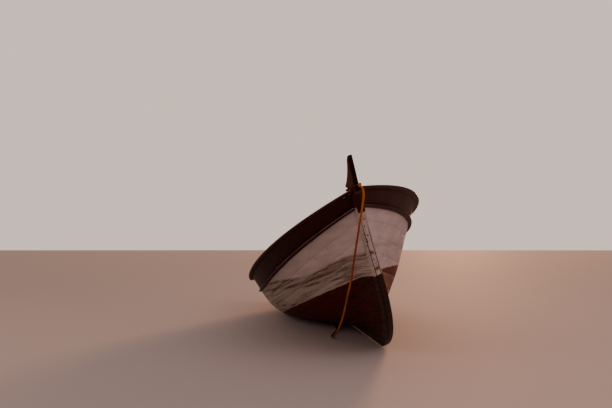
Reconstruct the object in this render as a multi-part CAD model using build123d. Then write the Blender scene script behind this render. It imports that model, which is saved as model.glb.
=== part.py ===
from build123d import *
from collections import namedtuple
from math import atan2, degrees, pi, radians, sqrt, tan
import os

os.makedirs("parts", exist_ok=True)

# An open wooden beach boat for rowing, planked edge to edge on sawn frames. It is drawn
# upright first: X runs forward, Y to port, Z up from the underside of the keel. At the end it
# is laid over on its keel and starboard bilge, the way it comes to rest ashore.

# Hull, in millimetres
sheer_length = 4686.0         # from the transom's foot line to the stem, along the sheer
half_beam = 750.0             # reference half-breadth of the lines table
bow_height = 1150.0           # from the underside of the keel to the sheer at the stem
transom_foot = 50.0           # how far forward the transom starts at the rabbet
transom_rake = 0.189          # how far the transom leans aft for each unit of height
timber_half = 27.0            # half the thickness of keel, stem and sternpost
keel_depth = 65.0             # from the underside of the keel up to the rabbet
plank_thickness = 22.0
seam = 0.5                    # open seam between two planks
clearance = 0.4               # between any two other pieces that seat on each other

# Lines of the hull: shares of half_beam and of bow_height for the three control lines above
# the rabbet, at six stations spread evenly from transom to stem.
LINES = (
    # bilge half, bilge height, topside half, topside height, sheer half, sheer height
    (0.395, 0.203, 0.739, 0.340, 0.733, 0.747),
    (0.652, 0.103, 1.099, 0.218, 0.940, 0.638),
    (0.835, 0.066, 1.200, 0.152, 0.984, 0.562),
    (0.669, 0.073, 0.996, 0.217, 1.096, 0.610),
    (0.217, 0.112, 0.327, 0.463, 1.291, 0.854),
    (None, 0.249, None, 0.754, None, 1.000),
)
# Where the four control lines meet the stem, as shares of sheer_length.
STEM_SHARES = (0.791, 0.9655, 0.9193, 1.0)     # rabbet, bilge, topside, sheer

# Planking: shares of the girth, from the rabbet to the sheer, where the seams lie.
SEAMS = (0.0, 0.160, 0.303, 0.428, 0.538, 0.637, 0.728, 0.816, 0.901, 1.0)
STRAKES = ("garboard_strakes", "second_strakes", "third_strakes", "fourth_strakes",
           "fifth_strakes", "sixth_strakes", "seventh_strakes", "eighth_strakes",
           "bulwark_strakes")

# Backbone
stem_front = 70.0             # from the rabbet to the stem's fore face
stem_back = 35.0              # from the planks' inner ends to the stem's aft face
apron_depth = 60.0
scarf_heel = 3300.0           # where the keel's long scarf starts, on top
scarf_length = 220.0
sternpost_depth = 55.0
keel_overhang = 25.0          # of the keel aft of the transom's foot
head_height = 205.0           # of the stem head above the sheer
head_top_depth = 48.0         # fore and aft, at its top
head_half = 15.0              # half the thickness of the dressed stem head
cusp_back = 250.0             # of the stem head's horn, aft of its fore face
cusp_height = 62.0            # of the horn's tip above the sheer
horn_throat = 205.0           # of the notch under the horn, aft of the fore face
stem_rake = 0.62              # how far the head leans forward for each unit of height
band_width = 27.0
band_thickness = 6.0
band_ends = (0.10, 0.83)      # shares of the stem's fore face, from the keel to the sheer
nose_half = 24.0
nose_depth = 26.0             # of the control lines that round the nose piece
nose_side = 7.0
nose_foot = 0.88              # share of the stem's fore face where the nose piece starts

# Transverse timbers
frame_siding = 30.0           # fore and aft
frame_depth = 38.0            # square to the planking
first_frame = 450.0
frame_spacing = 400.0
last_frame = 0.80             # share of sheer_length that the frames stop short of
floor_top = 172.0             # height of the floor timbers' level upper faces
futtock_head = 0.985           # share of the girth where the side timbers end

# Along the sides
cap_outer = 30.0              # of the cap rail outside the planking
cap_thickness = 24.0
inwale_width = 28.0
inwale_depth = 0.04           # share of the girth
rub_width = 0.022             # share of the girth
rub_depth = 19.0
riser_depth = 45.0
riser_thickness = 18.0
riser_start = 60.0            # ahead of the transom's foot

# Inside
thwart_top = 470.0
thwart_width = 230.0
thwart_thickness = 28.0
thwart_bays = (2, 4, 6)       # the frame bays, counted from aft, that hold a thwart
thwart_names = ("aft_thwart", "middle_thwart", "forward_thwart")
knee_thickness = 26.0
knee_reach = 130.0
board_width = 112.0
board_gap = 9.0
board_thickness = 18.0
board_side = 4.0              # between a floorboard and the side frames
board_run = 0.4               # share of the floor that the outermost boards cover
bench_boards = 3
bench_board_width = 104.0
transom_thickness = 28.0
transom_crown = 26.0
quarter_reach = 200.0         # of a quarter knee, along the transom
quarter_thickness = 26.0
breasthook_thickness = 30.0
socket_bore = 6.5             # radius
socket_wall = 5.0
socket_length = 62.0
socket_pad = 70.0             # fore and aft
socket_stand = 23.0           # from the inwale's face to the tube, filled by the pad
socket_behind = 290.0         # from a thwart's middle aft to the rowlocks of its rower

# Painter, the rope that is made fast round the stem head. Its points are in the laid frame.
rope_diameter = 14.0
coil_centre = (-12.0, 137.0)
coil_radius = 84.0            # of the outer turn's middle
coil_turns_wide = 2
coil_turns_high = 2
painter_route = (
    (2400.6, -143.0, 1117.9), (2417.4, -139.2, 1108.0), (2425.0, -133.0, 1086.0),
    (2421.0, -127.0, 1057.0), (2398.0, -122.0, 1017.0), (2350.0, -117.0, 964.0),
    (2280.0, -114.0, 897.0), (2190.0, -109.0, 815.0), (2075.0, -103.0, 722.0),
    (1940.0, -92.0, 624.0), (1790.0, -78.0, 526.0), (1635.0, -71.0, 433.0),
    (1475.0, -60.0, 337.0), (1320.0, -53.0, 238.0), (1170.0, -52.0, 145.0),
    (1050.0, -63.0, 69.0), (970.0, -75.0, 24.0), (885.0, -81.0, 8.0), (760.0, -57.0, 7.2),
    (625.0, -17.0, 7.2), (495.0, 23.0, 7.2), (370.0, 43.0, 7.2), (250.0, 50.0, 7.2),
    (145.0, 54.0, 7.2), (40.0, 55.0, 7.2),
)


Point = namedtuple("Point", "X Y Z")


def between(points, share):
    return [Point(*(a + (b - a) * share for a, b in zip(*two))) for two in zip(points, points[1:])]


def bezier(points, share):
    """The point of a Bezier curve at a share of its length, from its control points."""
    while len(points) > 1:
        points = between(points, share)
    return points[0]


def halves(points, share):
    left, right = [points[0]], [points[-1]]
    while len(points) > 1:
        points = between(points, share)
        left.append(points[0])
        right.insert(0, points[-1])
    return left, right


def stretch(points, start, end):
    """The control points of the stretch of a Bezier curve between two shares."""
    return halves(halves(points, end)[0], start / end)[1]


def girth_line(net, share):
    """A line along the boat at a share of the girth, from the keel to the sheer."""
    return [bezier(column, share) for column in net]


def transom_x(height, ahead=0.0):
    return transom_foot - transom_rake * (height - keel_depth) + ahead


def evened(row_ends):
    """Six stations with X spread evenly between the ends of each control line."""
    count = len(LINES) - 1
    return lambda row, i: row_ends[row][0] + (row_ends[row][1] - row_ends[row][0]) * i / count


def hull_lines():
    side = timber_half + clearance
    sections = []
    for bilge_y, bilge_z, top_y, top_z, sheer_y, sheer_z in LINES:
        halfs = [side if share is None else share * half_beam for share in (bilge_y, top_y, sheer_y)]
        heights = [share * bow_height for share in (bilge_z, top_z, sheer_z)]
        sections.append([(side, keel_depth)] + list(zip(halfs, heights)))
    ends = [(transom_x(sections[0][row][1]), STEM_SHARES[row] * sheer_length) for row in range(4)]
    x_at = evened(ends)
    return [[Point(x_at(row, i), y, z) for row, (y, z) in enumerate(section)]
            for i, section in enumerate(sections)]


def inset(net, depth):
    """The hull's control net moved in by a depth, still ending on keel, stem and transom."""
    net = [[Vector(*point) for point in column] for column in net]
    last = len(net) - 1
    moved = []
    for i, column in enumerate(net[:-1]):
        legs = [b - a for a, b in zip(column, column[1:])]
        normals = [Vector(0, -leg.Z, leg.Y).normalized() for leg in legs]
        slopes = []
        for row in range(4):
            fore, aft = net[min(i + 1, last)][row], net[max(i - 1, 0)][row]
            slopes.append(sqrt(1 + ((fore.Y - aft.Y) / (fore.X - aft.X)) ** 2))
        first, second, third = normals
        bilge = (first + second) * (1 / (1 + first.dot(second)))
        topside = (second + third) * (1 / (1 + second.dot(third)))
        moved.append([
            column[0] + Vector(0, 0, depth / first.Z),
            column[1] + bilge * depth * slopes[1],
            column[2] + topside * depth * slopes[2],
            column[3] + Vector(0, depth / third.Y * slopes[3], 0),
        ])
    backs = []
    for row in range(1, 4):
        leg = net[last][row] - net[last - 1][row]
        slope = abs(leg.Y / leg.X)
        backs.append(depth * sqrt(1 + slope ** 2) / slope)
    stem = [net[last][0] + Vector(-1.5 * depth, 0, 1.2 * depth)]
    stem += [net[last][row] - Vector(backs[row - 1], 0, 0) for row in range(1, 4)]
    moved.append(stem)
    ends = [(transom_x(moved[0][row].Z), moved[last][row].X) for row in range(4)]
    x_at = evened(ends)
    return [[Point(x_at(row, i), point.Y, point.Z) for row, point in enumerate(column)]
            for i, column in enumerate(moved)]


def at_station(net, share, station):
    """The point of a hull surface at a share of its girth, on a plane across the boat."""
    line = girth_line(net, share)
    return Vector(*bezier(line, (station - line[0].X) / (line[-1].X - line[0].X)))


def at_transom(net, share, ahead):
    """The same on a plane that lies ahead of the transom's outer face and leans with it."""
    line = girth_line(net, share)
    low, high = 0.0, 0.2
    for _ in range(48):
        middle = (low + high) / 2
        point = bezier(line, middle)
        if point.X < transom_x(point.Z, ahead):
            low = middle
        else:
            high = middle
    return Vector(*bezier(line, low))


def share_at_height(net, station, height):
    low, high = 0.0, 1.0
    for _ in range(30):
        middle = (low + high) / 2
        if at_station(net, middle, station).Z < height:
            low = middle
        else:
            high = middle
    return low


def at_height(net, station, height):
    return at_station(net, share_at_height(net, station, height), station)


def arcs(points):
    return [ThreePointArc(*points[i:i + 3]) for i in range(0, len(points) - 2, 2)]


def spread(start, end, count):
    return [start + (end - start) * i / (count - 1) for i in range(count)]


def closed(faces):
    return Solid(Shell(faces))


def mirrored(point):
    return Vector(point.X, -point.Y, point.Z)


def mirrored_line(line):
    return [Point(point.X, -point.Y, point.Z) for point in line]


def pair(solid):
    return [solid, solid.mirror(Plane.XZ)]


def plank(outer, inner, low, high):
    """A plank between two shares of the girth, as long as the hull."""
    out = [stretch(column, low, high) for column in outer]
    back = [stretch(column, low, high) for column in inner]
    faces = [Face.make_bezier_surface(out), Face.make_bezier_surface(back)]
    for edge in (0, -1):
        faces.append(Face.make_bezier_surface([[a[edge], b[edge]] for a, b in zip(out, back)]))
        faces.append(Face.make_bezier_surface([[a, b] for a, b in zip(out[edge], back[edge])]))
    return closed(faces)


def rail(lines):
    """A bar whose four long edges are the given lines."""
    faces = []
    for a_line, b_line in zip(lines, lines[1:] + lines[:1]):
        faces.append(Face.make_bezier_surface([[a, b] for a, b in zip(a_line, b_line)]))
    for end in (0, -1):
        a, b, c, d = [line[end] for line in lines]
        faces.append(Face.make_bezier_surface([[a, b], [d, c]]))
    return closed(faces)


def raised(line, height):
    return [Point(point.X, point.Y, point.Z + height) for point in line]


def profile_solid(edges, half):
    """An outline in the centre plane, given a thickness to both sides."""
    face = Face(Wire(edges))
    return extrude(face, half, dir=(0, 1, 0), both=True)


def polygon_edges(points):
    return [Line(a, b) for a, b in zip(points, points[1:])]


outside = hull_lines()
ceiling = inset(outside, plank_thickness)
frame_back = inset(outside, plank_thickness + clearance)
frame_face = inset(outside, plank_thickness + clearance + frame_depth)
rail_back = inset(outside, plank_thickness + 3 * clearance + frame_depth)
inboard = plank_thickness + 3 * clearance + frame_depth + inwale_width
rail_face = inset(outside, inboard)
keel_top = keel_depth + plank_thickness
frame_count = int((last_frame * sheer_length - first_frame) / frame_spacing) + 1
stations = [first_frame + frame_spacing * i for i in range(frame_count)]
floored = stations[:-1]       # the frames that have a floor timber across the keel

parts = {}


def strakes():
    girth = [Vector(*bezier(girth_line(outside, share), 0.5)) for share in spread(0, 1, 25)]
    gap = seam / 2 / sum((b - a).length for a, b in zip(girth, girth[1:]))
    for name, low, high in zip(STRAKES, SEAMS, SEAMS[1:]):
        low = low + gap if low > 0 else low
        high = high - gap if high < 1 else high
        parts[name] = pair(plank(outside, ceiling, low, high))


def keel():
    aft = transom_foot - sternpost_depth - keel_overhang
    outline = [Vector(aft, 0, 0), Vector(scarf_heel + scarf_length, 0, 0),
               Vector(scarf_heel, 0, keel_top), Vector(aft, 0, keel_top), Vector(aft, 0, 0)]
    parts["keel"] = [profile_solid(polygon_edges(outline), timber_half)]


def fore_face_line():
    """The stem's fore face, from the underside of the keel to the sheer."""
    foot = outside[-1][0]
    line = [Vector(foot.X + keel_overhang / 2, 0, 0)]
    for point in outside[-1][1:]:
        line.append(Vector(point.X + stem_front, 0, point.Z))
    line[1] = line[1] + Vector(keel_depth / 4, 0, -keel_depth / 2)
    return line


def stem():
    fore = fore_face_line()
    top = fore[-1]
    back = [Vector(point.X - stem_back, 0, point.Z) for point in ceiling[-1]]
    back[-1] = Vector(top.X - horn_throat, 0, top.Z)
    joint = Vector(scarf_heel + scarf_length + clearance, 0, 0)
    scarf_top = Vector(scarf_heel + clearance, 0, keel_top)
    back[0] = Vector(back[0].X, 0, keel_top)
    edges = [Line(joint, fore[0]), Bezier(*fore), Line(top, back[-1]), Bezier(*back[::-1]),
             Line(back[0], scarf_top), Line(scarf_top, joint)]
    parts["stem"] = [profile_solid(edges, timber_half)]
    apron_front = [point - Vector(clearance, 0, 0) for point in back]
    apron_front[0] = Vector(apron_front[0].X, 0, keel_top + clearance)
    apron_back = [point - Vector(apron_depth, 0, 0) for point in apron_front]
    cut = 0.93
    apron_front = halves([Point(*point) for point in apron_front], cut)[0]
    apron_back = halves([Point(*point) for point in apron_back], cut)[0]
    edges = [Bezier(*apron_front), Line(apron_front[-1], apron_back[-1]),
             Bezier(*apron_back[::-1]), Line(apron_back[0], apron_front[0])]
    parts["apron"] = [profile_solid(edges, timber_half)]


def stem_head():
    base = fore_face_line()[-1] + Vector(0, 0, clearance)
    lean = Vector(stem_rake, 0, 1)
    tip = base + lean * head_height
    horn = base + Vector(-cusp_back, 0, cusp_height)
    throat = base + Vector(-horn_throat, 0, 0)
    outline = [base, tip, tip + Vector(-head_top_depth, 0, -0.3 * head_top_depth), horn,
               throat + Vector(0.2 * horn_throat, 0, 0.45 * cusp_height), throat, base]
    edges = [Line(outline[0], outline[1]), Line(outline[1], outline[2]),
             ThreePointArc(outline[2], (outline[2] + horn) / 2 + Vector(14, 0, -14), horn),
             Line(horn, outline[4]), Line(outline[4], throat), Line(throat, base)]
    parts["stem_head"] = [profile_solid(edges, head_half)]


def set_off(points, depth):
    """The control points of a line in the centre plane, moved square to it, forward or down."""
    legs = [(b - a).normalized() for a, b in zip(points, points[1:])]
    normals = [Vector(leg.Z, 0, -leg.X) for leg in legs]
    moved = [points[0] + normals[0] * depth]
    for point, one, two in zip(points[1:], normals, normals[1:]):
        moved.append(point + (one + two) * (depth / (1 + one.dot(two))))
    return moved + [points[-1] + normals[-1] * depth]


def at_side(points, half):
    return [Point(point.X, half, point.Z) for point in points]


def stem_band():
    fore = fore_face_line()
    half = band_width / 2
    seat = stretch(at_side(set_off(fore, clearance), half), *band_ends)
    face = stretch(at_side(set_off(fore, clearance + band_thickness), half), *band_ends)
    parts["stem_band"] = [rail([seat, face, mirrored_line(face), mirrored_line(seat)])]


def nose_piece():
    """A rounded block on the stem's fore face, between the rub rails and the sheer."""
    fore = fore_face_line()
    rows = []
    for depth in (0.0, nose_side, nose_depth):
        line = set_off(fore, clearance + depth)
        rows.append(halves(at_side(line, nose_half), nose_foot)[1])
    seat, side, front = rows
    across = [side, front, mirrored_line(front), mirrored_line(side)]
    back = [seat] + [[Point(point.X, point.Y * share, point.Z) for point in seat] for share in (1 / 3, -1 / 3)]
    back.append(mirrored_line(seat))
    faces = [Face.make_bezier_surface([list(row) for row in zip(*across)]),
             Face.make_bezier_surface([list(row) for row in zip(seat, mirrored_line(seat))])]
    for one, two in ((seat, side), (mirrored_line(seat), mirrored_line(side))):
        faces.append(Face.make_bezier_surface([list(row) for row in zip(one, two)]))
    for end in (0, -1):
        faces.append(Face.make_bezier_surface([[line[end] for line in across], [line[end] for line in back]]))
    parts["nose_piece"] = [closed(faces)]


def painter_hitch():
    """The painter's turn round the stem head, held down by the horn."""
    height = rope_diameter + 1
    under = clearance + cap_thickness + 1
    lean = Vector(stem_rake, 0, 1)
    fore = fore_face_line()[-1] + lean * under
    aft = fore.X - horn_throat - 1.1 * rope_diameter
    middle = Pos((fore.X + 1 + aft) / 2, 0, fore.Z)
    length, width = fore.X + 1 - aft, 2 * (head_half + 1)
    ring = middle * RectangleRounded(length + 2 * rope_diameter, width + 2 * rope_diameter, rope_diameter)
    ring -= middle * Rectangle(length, width)
    parts["painter_hitch"] = [extrude(ring, height * lean.length, dir=lean.normalized())]


def sternpost():
    foot, top = keel_top + clearance, 0.62 * outside[0][3].Z
    outline = []
    for height, ahead in ((foot, -clearance), (top, -clearance),
                          (top, -clearance - sternpost_depth), (foot, -clearance - sternpost_depth)):
        outline.append(Vector(transom_x(height, ahead), 0, height))
    parts["sternpost"] = [profile_solid(polygon_edges(outline + outline[:1]), timber_half)]


def transom_face(ahead):
    shares = spread(0, 0.97, 13)
    side = [at_transom(frame_back, share, ahead) for share in shares]
    crown = Vector(transom_x(side[-1].Z + transom_crown, ahead), 0, side[-1].Z + transom_crown)
    other = [mirrored(point) for point in side]
    edges = arcs(side) + [ThreePointArc(side[-1], crown, other[-1])] + arcs(other[::-1])
    edges.append(Line(other[0], side[0]))
    return Face(Wire(edges))


def transom():
    faces = [transom_face(0.0), transom_face(transom_thickness)]
    parts["transom"] = [loft(faces, ruled=True)]


def side_frame(station, foot, head):
    faces = []
    for plane in (station, station + frame_siding):
        shares = spread(foot, head, 13)
        back = [at_station(frame_back, share, plane) for share in shares]
        face = [at_station(frame_face, share, plane) for share in shares]
        edges = arcs(back) + [Line(back[-1], face[-1])] + arcs(face[::-1]) + [Line(face[0], back[0])]
        faces.append(Face(Wire(edges)))
    return loft(faces, ruled=True)


def floor_timber(station):
    faces = []
    for plane in (station, station + frame_siding):
        share = share_at_height(frame_back, plane, floor_top - 14)
        side = [at_station(frame_back, part * share, plane) for part in spread(0, 1, 5)]
        top = Vector(plane, side[-1].Y, floor_top)
        other = [mirrored(point) for point in side]
        edges = arcs(side) + [Line(side[-1], top), Line(top, mirrored(top)),
                              Line(mirrored(top), other[-1])] + arcs(other[::-1])
        edges.append(Line(other[0], side[0]))
        faces.append(Face(Wire(edges)))
    return loft(faces, ruled=True)


def frames():
    floors, sides = [], []
    board_top = floor_top + clearance + board_thickness
    for station in stations:
        plane = station + frame_siding / 2 + clearance
        foot = max(1.05 * SEAMS[1], share_at_height(frame_face, plane + frame_siding, board_top + clearance))
        sides += pair(side_frame(plane, foot, futtock_head))
        if station in floored:
            floors.append(floor_timber(station - frame_siding / 2))
    parts["floor_timbers"] = floors
    parts["side_frames"] = sides


def long_rails():
    low = 1 - inwale_depth
    start = (transom_thickness + 4 * clearance) / sheer_length
    inwale = [girth_line(rail_back, low), girth_line(rail_back, 1),
              girth_line(rail_face, 1), girth_line(rail_face, low)]
    parts["inwales"] = pair(rail([stretch(line, start, 1) for line in inwale]))

    over = girth_line(inset(outside, -cap_outer), 1)
    inner = girth_line(rail_face, 1)
    cap = [raised(over, clearance), raised(over, clearance + cap_thickness),
           raised(inner, clearance + cap_thickness), raised(inner, clearance)]
    parts["cap_rails"] = pair(rail(cap))

    seat = inset(outside, -clearance)
    middle = SEAMS[-2]
    crown = inset(outside, -clearance - rub_depth)
    rub = [girth_line(seat, middle - rub_width / 2), girth_line(seat, middle + rub_width / 2),
           girth_line(crown, middle + rub_width / 4), girth_line(crown, middle - rub_width / 4)]
    parts["rub_rails"] = pair(rail(rub))


def riser_face(station):
    high = thwart_top - thwart_thickness - clearance
    corners = []
    for height in (high - riser_depth, high):
        corners.append(at_height(rail_back, station, height))
    for height in (high, high - riser_depth):
        corners.append(at_height(rail_back, station, height) - Vector(0, riser_thickness, 0))
    return Face(Wire.make_polygon(corners, close=True))


def risers():
    ends = [transom_foot + riser_start] + floored
    parts["risers"] = pair(loft([riser_face(station) for station in ends], ruled=True))


def seat_board(aft, fore, top, thickness, side):
    """A level board from side to side, its ends cut to the planking."""
    bottom = top - thickness
    corners = []
    for station in (aft, fore):
        half = at_height(side, station, bottom).Y
        corners.append((station, half))
    outline = [corners[0], corners[1], (corners[1][0], -corners[1][1]), (corners[0][0], -corners[0][1])]
    face = Face(Wire.make_polygon([Vector(x, y, bottom) for x, y in outline], close=True))
    return extrude(face, thickness, dir=(0, 0, 1))


def thwarts():
    knees = []
    for name, bay in zip(thwart_names, thwart_bays):
        middle = stations[bay] + (frame_spacing + frame_siding) / 2
        aft, fore = middle - thwart_width / 2, middle + thwart_width / 2
        parts[name] = [seat_board(aft, fore, thwart_top, thwart_thickness, frame_back)]
        knees += pair(thwart_knee(middle))
    parts["thwart_knees"] = knees


def thwart_knee(middle):
    """A grown knee from the thwart's upper face up the planking."""
    faces = []
    for plane in (middle - knee_thickness / 2, middle + knee_thickness / 2):
        foot = share_at_height(frame_back, plane, thwart_top + clearance)
        head = 1 - inwale_depth - 0.02
        back = [at_station(frame_back, share, plane) for share in spread(foot, head, 5)]
        toe = back[0] - Vector(0, knee_reach, 0)
        tip = back[-1] - Vector(0, frame_depth, 0)
        belly = (toe + tip) / 2 + Vector(0, knee_reach / 5, -knee_reach / 8)
        edges = arcs(back) + [Line(back[-1], tip), ThreePointArc(tip, belly, toe),
                              Line(toe, back[0])]
        faces.append(Face(Wire(edges)))
    return loft(faces, ruled=True)


def stern_bench():
    boards = []
    aft = transom_foot + transom_thickness + 12
    for i in range(bench_boards):
        start = aft + i * (bench_board_width + board_gap)
        boards.append(seat_board(start, start + bench_board_width, thwart_top, thwart_thickness, frame_back))
    parts["stern_bench"] = boards


def floorboards():
    """As many boards as the floor has room for, each as long as it fits between the frames."""
    boards = []
    bottom = floor_top + clearance
    planes = spread(stations[0] - frame_siding, floored[-1] + frame_spacing / 2, 60)
    rooms = {plane: at_height(frame_face, plane, bottom).Y - board_side for plane in planes}
    room = sorted(rooms.values(), reverse=True)[int(board_run * len(planes))]
    count = int((2 * room + board_gap) / (board_width + board_gap))
    for i in range(count):
        centre = (i - (count - 1) / 2) * (board_width + board_gap)
        clear = [plane for plane in planes if rooms[plane] > abs(centre) + board_width / 2]
        aft, fore = min(clear), max(clear)
        board = Pos((aft + fore) / 2, centre, bottom + board_thickness / 2)
        boards.append(board * Box(fore - aft, board_width, board_thickness))
    parts["floorboards"] = boards


def end_knees():
    face = inset(outside, inboard + clearance)
    low = 1 - inwale_depth
    port = stretch(girth_line(face, low), 0.86, 0.972)
    top = raised(port, breasthook_thickness)
    parts["breasthook"] = [rail([port, top, mirrored_line(top), mirrored_line(port)])]

    corners = []
    for share in (0.02, 0.075):
        under, over = bezier(girth_line(face, low), share), bezier(girth_line(face, 1), share)
        corners.append(Vector(under.X, min(under.Y, over.Y), under.Z))
    across = corners[0] - Vector(0, quarter_reach, 0)
    outline = Face(Wire.make_polygon(corners + [across], close=True))
    parts["quarter_knees"] = pair(extrude(outline, quarter_thickness, dir=(0, 0, 1)))


def along(line, start, end):
    """The stretch of a line along the boat between two planes across it."""
    length = line[-1].X - line[0].X
    return stretch(line, (start - line[0].X) / length, (end - line[0].X) / length)


def rowlock_sockets():
    """A pad on the inwale's inner face with an upright tube for the rowlock's pin."""
    seat = inset(outside, inboard + clearance)
    low = 1 - inwale_depth
    outer = socket_bore + socket_wall
    sockets = []
    for bay in thwart_bays[1:]:
        middle = stations[bay] + (frame_spacing + frame_siding) / 2 - socket_behind
        aft, fore = middle - socket_pad / 2, middle + socket_pad / 2
        centre = min(at_station(seat, low, station).Y for station in (aft, fore)) - outer - socket_stand
        back = [along(girth_line(seat, share), aft, fore) for share in (low, 1)]
        face = [[Point(point.X, centre, point.Z) for point in line] for line in back]
        top = at_station(seat, 1, middle).Z - 1
        tube = Pos(middle, centre, top - socket_length / 2)
        socket = rail([back[0], back[1], face[1], face[0]]) + tube * Cylinder(outer, socket_length)
        sockets += pair(socket - tube * Cylinder(socket_bore, socket_length + 20))
        print("rowlock socket", Vector(middle, centre, top))
    parts["rowlock_sockets"] = sockets


keel()
strakes()
stem()
stem_head()
stem_band()
nose_piece()
painter_hitch()
sternpost()
transom()
frames()
long_rails()
risers()
thwarts()
stern_bench()
floorboards()
end_knees()
rowlock_sockets()

# Laid over to starboard until the bilge meets the floor the keel's corner stands on.
heel = min(atan2(point.Z, point.Y - timber_half)
           for point in [bezier(girth_line(outside, share), place)
                         for share in spread(0.2, 0.7, 26) for place in spread(0.1, 0.9, 41)])
stand = Rot(degrees(heel), 0, 0)
laid = {name: [stand * solid for solid in solids] for name, solids in parts.items()}
box = Compound([solid for solids in laid.values() for solid in solids]).bounding_box()
origin = Vector((box.min.X + box.max.X) / 2, (box.min.Y + box.max.Y) / 2, box.min.Z)
home = Pos(-origin.X, -origin.Y, -origin.Z)
placed = {name: [home * solid for solid in solids] for name, solids in laid.items()}


def painter():
    """The rope from the hitch down to the floor and in under the boat, to its coil."""
    points = [Vector(*point) for point in painter_route]
    runs = [b - a for a, b in zip(points, points[1:])]
    radii = []
    for one, two in zip(runs, runs[1:]):
        turn = radians(one.get_angle(two))
        radii.append(0.45 * min(one.length, two.length) / tan(turn / 2))
    path = FilletPolyline(*points, radius=radii)
    print("painter radii", [round(radius) for radius in radii])
    start = Plane(origin=points[0], z_dir=runs[0])
    tube = sweep(start * Circle(rope_diameter / 2), path=path)
    print("painter length", round(path.length), "volume share",
          round(tube.volume / (pi * rope_diameter ** 2 / 4 * path.length), 4))
    placed["painter"] = [tube]
    outer = coil_radius + rope_diameter / 2
    inner = outer - coil_turns_wide * rope_diameter
    plan = Pos(*coil_centre, 0.2) * (Circle(outer) - Circle(inner))
    placed["painter_coil"] = [extrude(plan, coil_turns_high * rope_diameter)]


painter()
for name, solids in placed.items():
    export_step(Compound(solids) if len(solids) > 1 else solids[0], f"parts/{name}.step")
print("heel", round(degrees(heel), 2), "origin", origin, "size", box.size)
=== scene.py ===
from math import atan2, cos, pi, radians, sin, tau

import bpy
import bmesh
from mathutils import Matrix, Vector
from mathutils.bvhtree import BVHTree


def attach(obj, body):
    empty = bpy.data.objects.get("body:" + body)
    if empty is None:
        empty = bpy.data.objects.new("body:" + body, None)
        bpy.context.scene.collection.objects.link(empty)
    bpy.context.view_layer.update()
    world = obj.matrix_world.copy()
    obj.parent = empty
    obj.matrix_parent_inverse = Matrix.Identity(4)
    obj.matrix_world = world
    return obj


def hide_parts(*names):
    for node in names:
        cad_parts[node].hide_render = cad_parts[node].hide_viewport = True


# The boat as it lies ashore, heeled to starboard on its keel and its bilge. Each of its timbers
# comes in as a plain solid, and the sections below finish them one after another.
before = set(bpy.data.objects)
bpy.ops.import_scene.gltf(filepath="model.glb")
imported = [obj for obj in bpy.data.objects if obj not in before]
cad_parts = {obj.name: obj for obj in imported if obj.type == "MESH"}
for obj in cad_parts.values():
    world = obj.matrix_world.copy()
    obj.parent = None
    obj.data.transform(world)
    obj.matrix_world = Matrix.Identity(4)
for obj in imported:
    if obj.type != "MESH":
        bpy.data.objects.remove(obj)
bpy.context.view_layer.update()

# The camera is ahead of the boat and a little to starboard, as low as somebody crouching, and is
# tilted up, so that the horizon falls below the middle of the frame.
eye = Vector((5.5955, -0.7774, 0.741))
yaw = 0.1021                  # radians from straight aft, towards port
horizon_drop = 45.3           # pixels from the frame's centre down to the horizon
focal_pixels = 560.0
frame_width = 612             # pixels
sensor = 36.0
pitch = atan2(horizon_drop, focal_pixels)
look = Vector((-cos(yaw) * cos(pitch), sin(yaw) * cos(pitch), sin(pitch)))
camera_data = bpy.data.cameras.new("photographer")
camera_data.sensor_width = sensor
camera_data.lens = focal_pixels * sensor / frame_width
camera_data.clip_end = 1000.0
camera = bpy.data.objects.new("photographer", camera_data)
camera.location = eye
camera.rotation_euler = look.to_track_quat("-Z", "Y").to_euler()
bpy.context.scene.collection.objects.link(camera)
bpy.context.scene.camera = camera

# A plain pale studio floor in soft light: a low warm sun abaft the port quarter, a wide rosy lamp
# off each bow, and a dim rosy surround. The backdrop that shows is brighter than the surround.
floor_radius = 500.0
bpy.ops.object.select_all(action="DESELECT")
bpy.ops.mesh.primitive_circle_add(vertices=96, radius=floor_radius, fill_type="NGON")
studio_floor = bpy.context.object
studio_floor.name = "studio_floor"
floor_finish = bpy.data.materials.new("studio_floor")
floor_finish.use_nodes = True
floor_inputs = floor_finish.node_tree.nodes["Principled BSDF"].inputs
floor_inputs["Base Color"].default_value = (0.62, 0.58, 0.55, 1)
floor_inputs["Roughness"].default_value = 0.9
studio_floor.data.materials.append(floor_finish)

world = bpy.data.worlds.new("studio")
world.use_nodes = True
surround = world.node_tree.nodes["Background"]
surround.inputs["Color"].default_value = (1.0, 0.73, 0.67, 1)
surround.inputs["Strength"].default_value = 0.36
backdrop = world.node_tree.nodes.new("ShaderNodeBackground")
backdrop.inputs["Color"].default_value = (1.0, 0.80, 0.70, 1)
backdrop.inputs["Strength"].default_value = 0.95
seen = world.node_tree.nodes.new("ShaderNodeLightPath")
choice = world.node_tree.nodes.new("ShaderNodeMixShader")
for source, target in (
    (seen.outputs["Is Camera Ray"], choice.inputs[0]),
    (surround.outputs[0], choice.inputs[1]),
    (backdrop.outputs[0], choice.inputs[2]),
    (choice.outputs[0], world.node_tree.nodes["World Output"].inputs[0]),
):
    world.node_tree.links.new(source, target)
bpy.context.scene.world = world

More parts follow.
